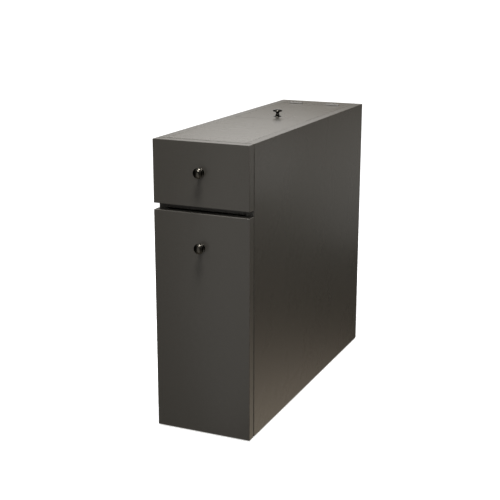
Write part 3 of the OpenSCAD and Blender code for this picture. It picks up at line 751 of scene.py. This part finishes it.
def glide_outline(height, radius, nail_top):
    """A nail-on glide: a pad with a rounded rim that stands on a smaller face, and its nail."""
    nail_r, point_l, round_r, inset, round_steps = 1.0 * MM, 2 * MM, 0.8 * MM, 2.2 * MM, 4
    rim = arc((radius - round_r, round_r), (round_r, round_r), -60, 0, round_steps)
    pad = [(0, 0), (radius - inset, 0)] + rim + [(radius, height), (nail_r, height)]
    return pad + [(nail_r, nail_top - point_l), (0, nail_top)]


def floor_glides(settings):
    """The four glides under the side panels."""
    meshes = []
    glide_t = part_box("side_panel_left")[0][2]
    for low, high in islands("floor_glides"):
        outline = glide_outline(glide_t, (high[0] - low[0]) / 2, high[2])
        centre = ((low[0] + high[0]) / 2, (low[1] + high[1]) / 2, 0)
        meshes.append(placed(turned(outline, settings.turned_steps), centre, (0, 0, 1)))
    return piece("moulded_floor_glides", joined(meshes), [nylon("glide_nylon", settings.nylon_colour)],
                 "carcass", "nylon", "floor_glides")


def bumpers(node, body, settings):
    """Small domed bumpers stuck to the back of a front."""
    meshes = []
    skirt, dome_steps = 0.45, 8
    for low, high in islands(node):
        radius, height = (high[0] - low[0]) / 2, high[1] - low[1]
        skirt_z = height * skirt
        dome = arc((0, skirt_z), (radius, height - skirt_z), 0, 90, dome_steps)
        outline = [(0, 0), (radius, 0), (radius, skirt_z)] + dome[1:-1] + [(0, height)]
        centre = ((low[0] + high[0]) / 2, low[1], (low[2] + high[2]) / 2)
        meshes.append(placed(turned(outline, settings.bumper_steps), centre, (0, 1, 0)))
    return piece("moulded_" + node, joined(meshes), [nylon("bumper_plastic", settings.bumper_colour)],
                 body, "nylon", node)


def fluted_dowels(node, body):
    """Dowels with glue flutes along them and broken ends."""
    steps, flute_every, flute_depth, end_r = 48, 3, 0.25 * MM, 0.6 * MM
    meshes = []
    for low, high in islands(node):
        axis = max(range(3), key=lambda i: high[i] - low[i])
        length, radius = high[axis] - low[axis], (high[2] - low[2]) / 2
        mesh = bmesh.new()
        bmesh.ops.create_cone(
            mesh, cap_ends=True, segments=steps, radius1=radius, radius2=radius, depth=length)
        for vert in mesh.verts:
            step = round(math.atan2(vert.co.y, vert.co.x) / math.tau * steps)
            if step % flute_every == 0:
                vert.co.xy *= 1 - flute_depth / radius
        rims = [edge for edge in mesh.edges if abs(edge.verts[0].co.z - edge.verts[1].co.z) < MERGE]
        soften(mesh, rims, end_r, 1)
        direction = tuple(float(i == axis) for i in range(3))
        meshes.append(placed(mesh, (Vector(low) + Vector(high)) / 2, direction))
    return piece("turned_" + node, joined(meshes), [beech("beech")], body, "beech", node)


def bent_sheet(node, body, slot, material):
    """A slide's sheet steel: round bends along it and broken edges elsewhere."""
    mesh = cad_copy(node)
    low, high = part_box(node)
    length = high[1] - low[1]

    def is_bend(edge):
        """Whether an edge runs along the sheet between two wide faces."""
        along = abs(edge.verts[0].co.y - edge.verts[1].co.y) > length / 2
        return along and min(face.calc_area() for face in edge.link_faces) > SLIDE_BEND_LEAST_W * length

    bends = [edge for edge in mesh.edges if fold_angle(edge) > SHARP_ANGLE and is_bend(edge)]
    soften(mesh, bends, SLIDE_BEND_R, SLIDE_BEND_STEPS)
    soften(mesh, [edge for edge in mesh.edges if fold_angle(edge) > SQUARE_ANGLE], SLIDE_EDGE_R, 1)
    shade(mesh)
    return piece("bent_" + node, mesh, [material], body, slot, node)


# ---- Operators ----

class CABINET_OT_carcass(Operator):
    """Dress the carcass boards in melamine and edging"""

    bl_idname = "cabinet.carcass"
    bl_label = "Carcass boards"

    def execute(self, context):
        settings = context.scene.cabinet_boards
        for node, banded in CARCASS_EDGING.items():
            edged_board(node, "carcass", "board", banded, carcass_face(settings), settings)
        thin_board("back_board", "carcass", "+y", settings)
        return {"FINISHED"}


class CABINET_OT_fronts(Operator):
    """Dress the drawer front, the rack front and the lid"""

    bl_idname = "cabinet.fronts"
    bl_label = "Fronts and lid"

    def execute(self, context):
        settings = context.scene.cabinet_boards
        edged_board("drawer_front", "drawer", "front_board", FRONT_EDGING, front_face(settings), settings)
        edged_board("rack_front", "rack", "front_board", FRONT_EDGING, front_face(settings), settings)
        edged_board("lid_panel", "lid", "board", LID_EDGING, carcass_face(settings), settings)
        return {"FINISHED"}


class CABINET_OT_boxes(Operator):
    """Dress the drawer box and the rack"""

    bl_idname = "cabinet.boxes"
    bl_label = "Drawer box and rack"

    def execute(self, context):
        settings = context.scene.cabinet_boards
        for body, table in (("drawer", DRAWER_EDGING), ("rack", RACK_EDGING)):
            for node, banded in table.items():
                edged_board(node, body, "board", banded, carcass_face(settings), settings)
        thin_board("drawer_bottom", "drawer", "-z", settings)
        return {"FINISHED"}


class CABINET_OT_knobs(Operator):
    """Turn the three knobs"""

    bl_idname = "cabinet.knobs"
    bl_label = "Knobs"

    def execute(self, context):
        settings = context.scene.cabinet_metal
        turned_knob("drawer_knob", "drawer", (0, -1, 0), settings)
        turned_knob("rack_knob", "rack", (0, -1, 0), settings)
        turned_knob("lid_knob", "lid", (0, 0, 1), settings)
        return {"FINISHED"}


class CABINET_OT_slides(Operator):
    """Bend the slides and mould their rollers"""

    bl_idname = "cabinet.slides"
    bl_label = "Slides and rollers"

    def execute(self, context):
        settings = context.scene.cabinet_metal
        steel = coated_steel("coated_steel", settings.slide_colour)
        for hand in ("left", "right"):
            for level in ("upper", "lower"):
                bent_sheet(f"{level}_channel_{hand}", "carcass", "slide_steel", steel)
            for box in ("drawer", "rack"):
                bent_sheet(f"{box}_runner_{hand}", box, "slide_steel", steel)
        for level in ("upper", "lower"):
            roller_pair(f"{level}_channel_rollers", f"{level}_front_rollers", settings)
            roller_pair(f"{level}_runner_rollers", f"{level}_rear_rollers", settings)
        return {"FINISHED"}


class CABINET_OT_hinges(Operator):
    """Finish the lid's hinges"""

    bl_idname = "cabinet.hinges"
    bl_label = "Hinges"

    def execute(self, context):
        settings = context.scene.cabinet_metal
        lacquer = coated_steel("hinge_lacquer", settings.hinge_colour)
        zinc = plated("zinc", settings.zinc_colour)
        fitting("hinge_rail_leaves", "carcass", "hinge_steel", lacquer, LEAF_EDGE_R)
        fitting("hinge_lid_leaves", "lid", "hinge_steel", lacquer, LEAF_EDGE_R)
        fitting("hinge_pins", "carcass", "hinge_steel", lacquer, PIN_EDGE_R, segments=2)
        fitting("hinge_rail_screws", "carcass", "zinc", zinc, HINGE_SCREW_EDGE_R)
        fitting("hinge_lid_screws", "lid", "zinc", zinc, HINGE_SCREW_EDGE_R)
        return {"FINISHED"}


class CABINET_OT_fittings(Operator):
    """Finish the cam locks, bolts, screws and dowels"""

    bl_idname = "cabinet.fittings"
    bl_label = "Joinery and screws"

    def execute(self, context):
        zinc = plated("zinc", context.scene.cabinet_metal.zinc_colour)
        for body, nodes in {
            "carcass": ("cam_locks", "cam_bolts", "channel_screws"),
            "drawer": ("drawer_cams_and_bolts", "drawer_screws", "drawer_knob_screw"),
            "rack": ("rack_cams_and_bolts", "rack_screws", "rack_knob_screw"),
            "lid": ("lid_knob_screw",),
        }.items():
            for node in nodes:
                fitting(node, body, "zinc", zinc, FITTING_EDGE_R)
        fluted_dowels("wood_dowels", "carcass")
        fluted_dowels("rack_dowels", "rack")
        return {"FINISHED"}


class CABINET_OT_glides(Operator):
    """Mould the glides and bumpers"""

    bl_idname = "cabinet.glides"
    bl_label = "Glides and bumpers"

    def execute(self, context):
        settings = context.scene.cabinet_metal
        floor_glides(settings)
        bumpers("drawer_bumpers", "drawer", settings)
        bumpers("rack_bumpers", "rack", settings)
        return {"FINISHED"}


class CABINET_OT_stage(Operator):
    """Set the floor, the light and the camera"""

    bl_idname = "cabinet.stage"
    bl_label = "Stage"

    def execute(self, context):
        settings = context.scene.cabinet_stage
        context.scene.view_settings.view_transform = "Standard"
        make_floor(settings)
        make_surround(settings)
        make_lights(settings)
        make_camera(context.scene, settings)
        return {"FINISHED"}


# Half the floor's width, in metres
FLOOR_HALF = 40


def make_floor(settings):
    """A wide floor that neither lights the cabinet nor shows in it."""
    mesh = bmesh.new()
    bmesh.ops.create_grid(mesh, x_segments=1, y_segments=1, size=FLOOR_HALF)
    data = bpy.data.meshes.new("floor")
    mesh.to_mesh(data)
    mesh.free()
    data.materials.append(floor_paint("floor_paint", settings.floor_colour, settings.floor_glow))
    floor = bpy.data.objects.new("floor", data)
    bpy.context.scene.collection.objects.link(floor)
    floor.visible_glossy = False
    floor.visible_diffuse = False


BACKDROP = (1, 1, 1)
BLACK = (0, 0, 0)
# Where the front of the studio turns into the back, as the forward part of a direction
HALFWAY = (-0.25, 0.25)
# Where the flags at both sides begin and are full, as the square of a direction's sideways part
FLAG_EDGE = (0.25, 0.50)
# Brightness round the studio by height, from (upward part of the direction, colour) stops
FRONT_SURROUND = (
    (-0.60, (0.36, 0.34, 0.31)),
    (-0.40, (0.26, 0.25, 0.23)),
    (-0.28, (0.19, 0.18, 0.17)),
    (0.10, (0.17, 0.17, 0.16)),
    (0.30, (0.30, 0.30, 0.30)),
    (0.55, (0.85, 0.85, 0.85)),
    (1.00, (0.95, 0.95, 0.95)),
)
BACK_SURROUND = (
    (-0.46, (1.20, 1.04, 0.79)),
    (-0.39, (0.78, 0.64, 0.51)),
    (-0.345, (0.03, 0.02, 0.01)),
    (-0.31, (0.00, 0.00, 0.00)),
    (-0.25, (0.10, 0.10, 0.09)),
    (-0.19, (0.36, 0.35, 0.32)),
    (-0.13, (0.24, 0.22, 0.19)),
    (0.06, (0.02, 0.01, 0.00)),
    (0.12, (0.10, 0.07, 0.03)),
    (0.18, (0.46, 0.41, 0.34)),
    (0.28, (0.60, 0.57, 0.52)),
    (0.42, (0.45, 0.45, 0.45)),
    (1.00, (0.45, 0.45, 0.45)),
)


def ramp_place(upward):
    """Where the upward part of a direction, from -1 to 1, stands on a ramp from 0 to 1."""
    return upward * 0.5 + 0.5


def ramp_stops(stops):
    """The stops of a surround, moved to their places on a ramp."""
    return [(ramp_place(upward), colour) for upward, colour in stops]


def make_surround(settings):
    """A studio of soft light before a white backdrop, with dark flags left and right that gloss mirrors."""
    world = bpy.data.worlds.new("studio")
    bpy.context.scene.world = world
    shader = Shader(world, "Generated")
    sideways, forward, upward = (
        shader.node("ShaderNodeSeparateXYZ", {}, {"Vector": shader.place}, axis) for axis in "XYZ")
    height = ramp_place(upward)
    front, back = (
        shader.node("ShaderNodeValToRGB", {"stops": ramp_stops(stops)}, {"Fac": height})
        for stops in (FRONT_SURROUND, BACK_SURROUND))
    seen = shader.node("ShaderNodeLightPath", output="Is Camera Ray")
    mirrored = shader.node("ShaderNodeLightPath", output="Is Glossy Ray")
    flags = shader.spread(sideways * sideways, *FLAG_EDGE, 0, settings.flags) * mirrored
    studio = shader.mix(flags, shader.mix(shader.spread(forward, *HALFWAY), front, back), BLACK)
    light = shader.node(
        "ShaderNodeBackground", {},
        {"Color": shader.mix(seen, studio, BACKDROP), "Strength": settings.surround})
    shader.node("ShaderNodeOutputWorld", {}, {"Surface": light})


# Each light's starting point, its place and its aim from there, and its width and height, all in metres.
# A card also has its brightness.
SOFTBOX = ("front", (0.24, -0.41, 2.15), (0, 0, 0.3), (0.48, 0.48))
CARDS = {
    "high_card": ("front", (0.14, -0.41, 1.95), (0, 0, 0.3), (1.00, 0.55), 24),
    "front_card": ("front", (-0.14, -0.45, 0.15), (-0.14, 0, 0.15), (0.24, 0.74), 1),
    "key_card": ("knob", (-0.12, -0.75, 0.35), (0, 0, 0), (0.28, 0.24), 20),
    "side_card": ("side", (0.26, 1.05, 0.24), (0, 0.25, 0.35), (0.34, 0.44), 0.18),
    "corner_card": ("side", (0.26, 0.33, 0.40), (0, 0.33, 0.40), (0.28, 0.18), 0.5),
    "top_card": ("top", (-0.30, 0.61675, 0.25), (0, 0, 0), (0.60, 0.24), 1.5),
}


def add_light(name, start, place, aim, size, power, only_glossy=False):
    """A soft light that the camera doesn't see. A card that only glossy faces mirror is oval."""
    data = bpy.data.lights.new(name, "AREA")
    data.shape = "ELLIPSE" if only_glossy else "RECTANGLE"
    data.size, data.size_y = size
    data.energy = power
    lamp = bpy.data.objects.new(name, data)
    bpy.context.scene.collection.objects.link(lamp)
    lamp.location = start + Vector(place)
    lamp.rotation_mode = "QUATERNION"
    lamp.rotation_quaternion = (Vector(aim) - Vector(place)).to_track_quat("-Z", "Y")
    lamp.visible_camera = False
    lamp.visible_diffuse = not only_glossy


def make_lights(settings):
    """A softbox high in front of the cabinet, and cards that glossy faces mirror."""
    front_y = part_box("drawer_front")[0][1]
    starts = {
        "front": Vector((0, front_y, 0)),
        "knob": Vector((0, front_y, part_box("drawer_knob")[0][2])),
        "side": Vector((cad_box[1][0], 0, 0)),
        "top": Vector((0, 0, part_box("top_panel")[1][2])),
    }
    start, place, aim, size = SOFTBOX
    add_light("softbox", starts[start], place, aim, size, settings.overhead_power)
    for name, (start, place, aim, size, brightness) in CARDS.items():
        area = math.pi / 4 * size[0] * size[1]
        power = math.pi * area * brightness * settings.card_brightness
        add_light(name, starts[start], place, aim, size, power, only_glossy=True)


# In millimetres, and how far the camera sees, in metres
SENSOR_W = 36
CLIP_END = 200


def make_camera(scene, settings):
    """The camera, on a sphere round the point that it looks at."""
    data = bpy.data.cameras.new("camera")
    data.sensor_width = SENSOR_W
    data.lens = settings.lens
    data.clip_end = CLIP_END
    camera = bpy.data.objects.new("camera", data)
    scene.collection.objects.link(camera)
    azimuth, elevation = settings.azimuth, settings.elevation
    level = math.cos(elevation)
    back = Vector((math.sin(azimuth) * level, -math.cos(azimuth) * level, math.sin(elevation)))
    camera.location = Vector(settings.aim) + back * settings.distance
    camera.rotation_mode = "QUATERNION"
    roll = Matrix.Rotation(settings.roll, 3, "Z").to_quaternion()
    camera.rotation_quaternion = (-back).to_track_quat("-Z", "Y") @ roll
    scene.camera = camera


class CABINET_PT_sidebar(Panel):
    """The cabinet's steps and settings"""

    bl_idname = "CABINET_PT_sidebar"
    bl_label = "Cabinet"
    bl_space_type = "VIEW_3D"
    bl_region_type = "UI"
    bl_category = "Cabinet"

    def draw(self, context):
        for name, settings in (("Boards", context.scene.cabinet_boards),
                               ("Metal and plastic", context.scene.cabinet_metal),
                               ("Stage", context.scene.cabinet_stage)):
            box = self.layout.box()
            box.label(text=name)
            for key in settings.__annotations__:
                box.prop(settings, key)
        for step in STEPS:
            self.layout.operator(step.bl_idname)


STEPS = (
    CABINET_OT_carcass, CABINET_OT_fronts, CABINET_OT_boxes, CABINET_OT_knobs, CABINET_OT_slides,
    CABINET_OT_hinges, CABINET_OT_fittings, CABINET_OT_glides, CABINET_OT_stage,
)
SETTINGS = {
    "cabinet_boards": CabinetBoardSettings,
    "cabinet_metal": CabinetMetalSettings,
    "cabinet_stage": CabinetStageSettings,
}


def register():
    for kind in (*SETTINGS.values(), *STEPS, CABINET_PT_sidebar):
        bpy.utils.register_class(kind)
    for name, kind in SETTINGS.items():
        setattr(bpy.types.Scene, name, PointerProperty(type=kind))


def unregister():
    for name in SETTINGS:
        delattr(bpy.types.Scene, name)
    for kind in (CABINET_PT_sidebar, *reversed(STEPS), *reversed(SETTINGS.values())):
        bpy.utils.unregister_class(kind)


def main():
    """Builds every piece and the stage."""
    register()
    for step in STEPS:
        group, name = step.bl_idname.split(".")
        getattr(getattr(bpy.ops, group), name)()


if __name__ == "__main__":
    main()
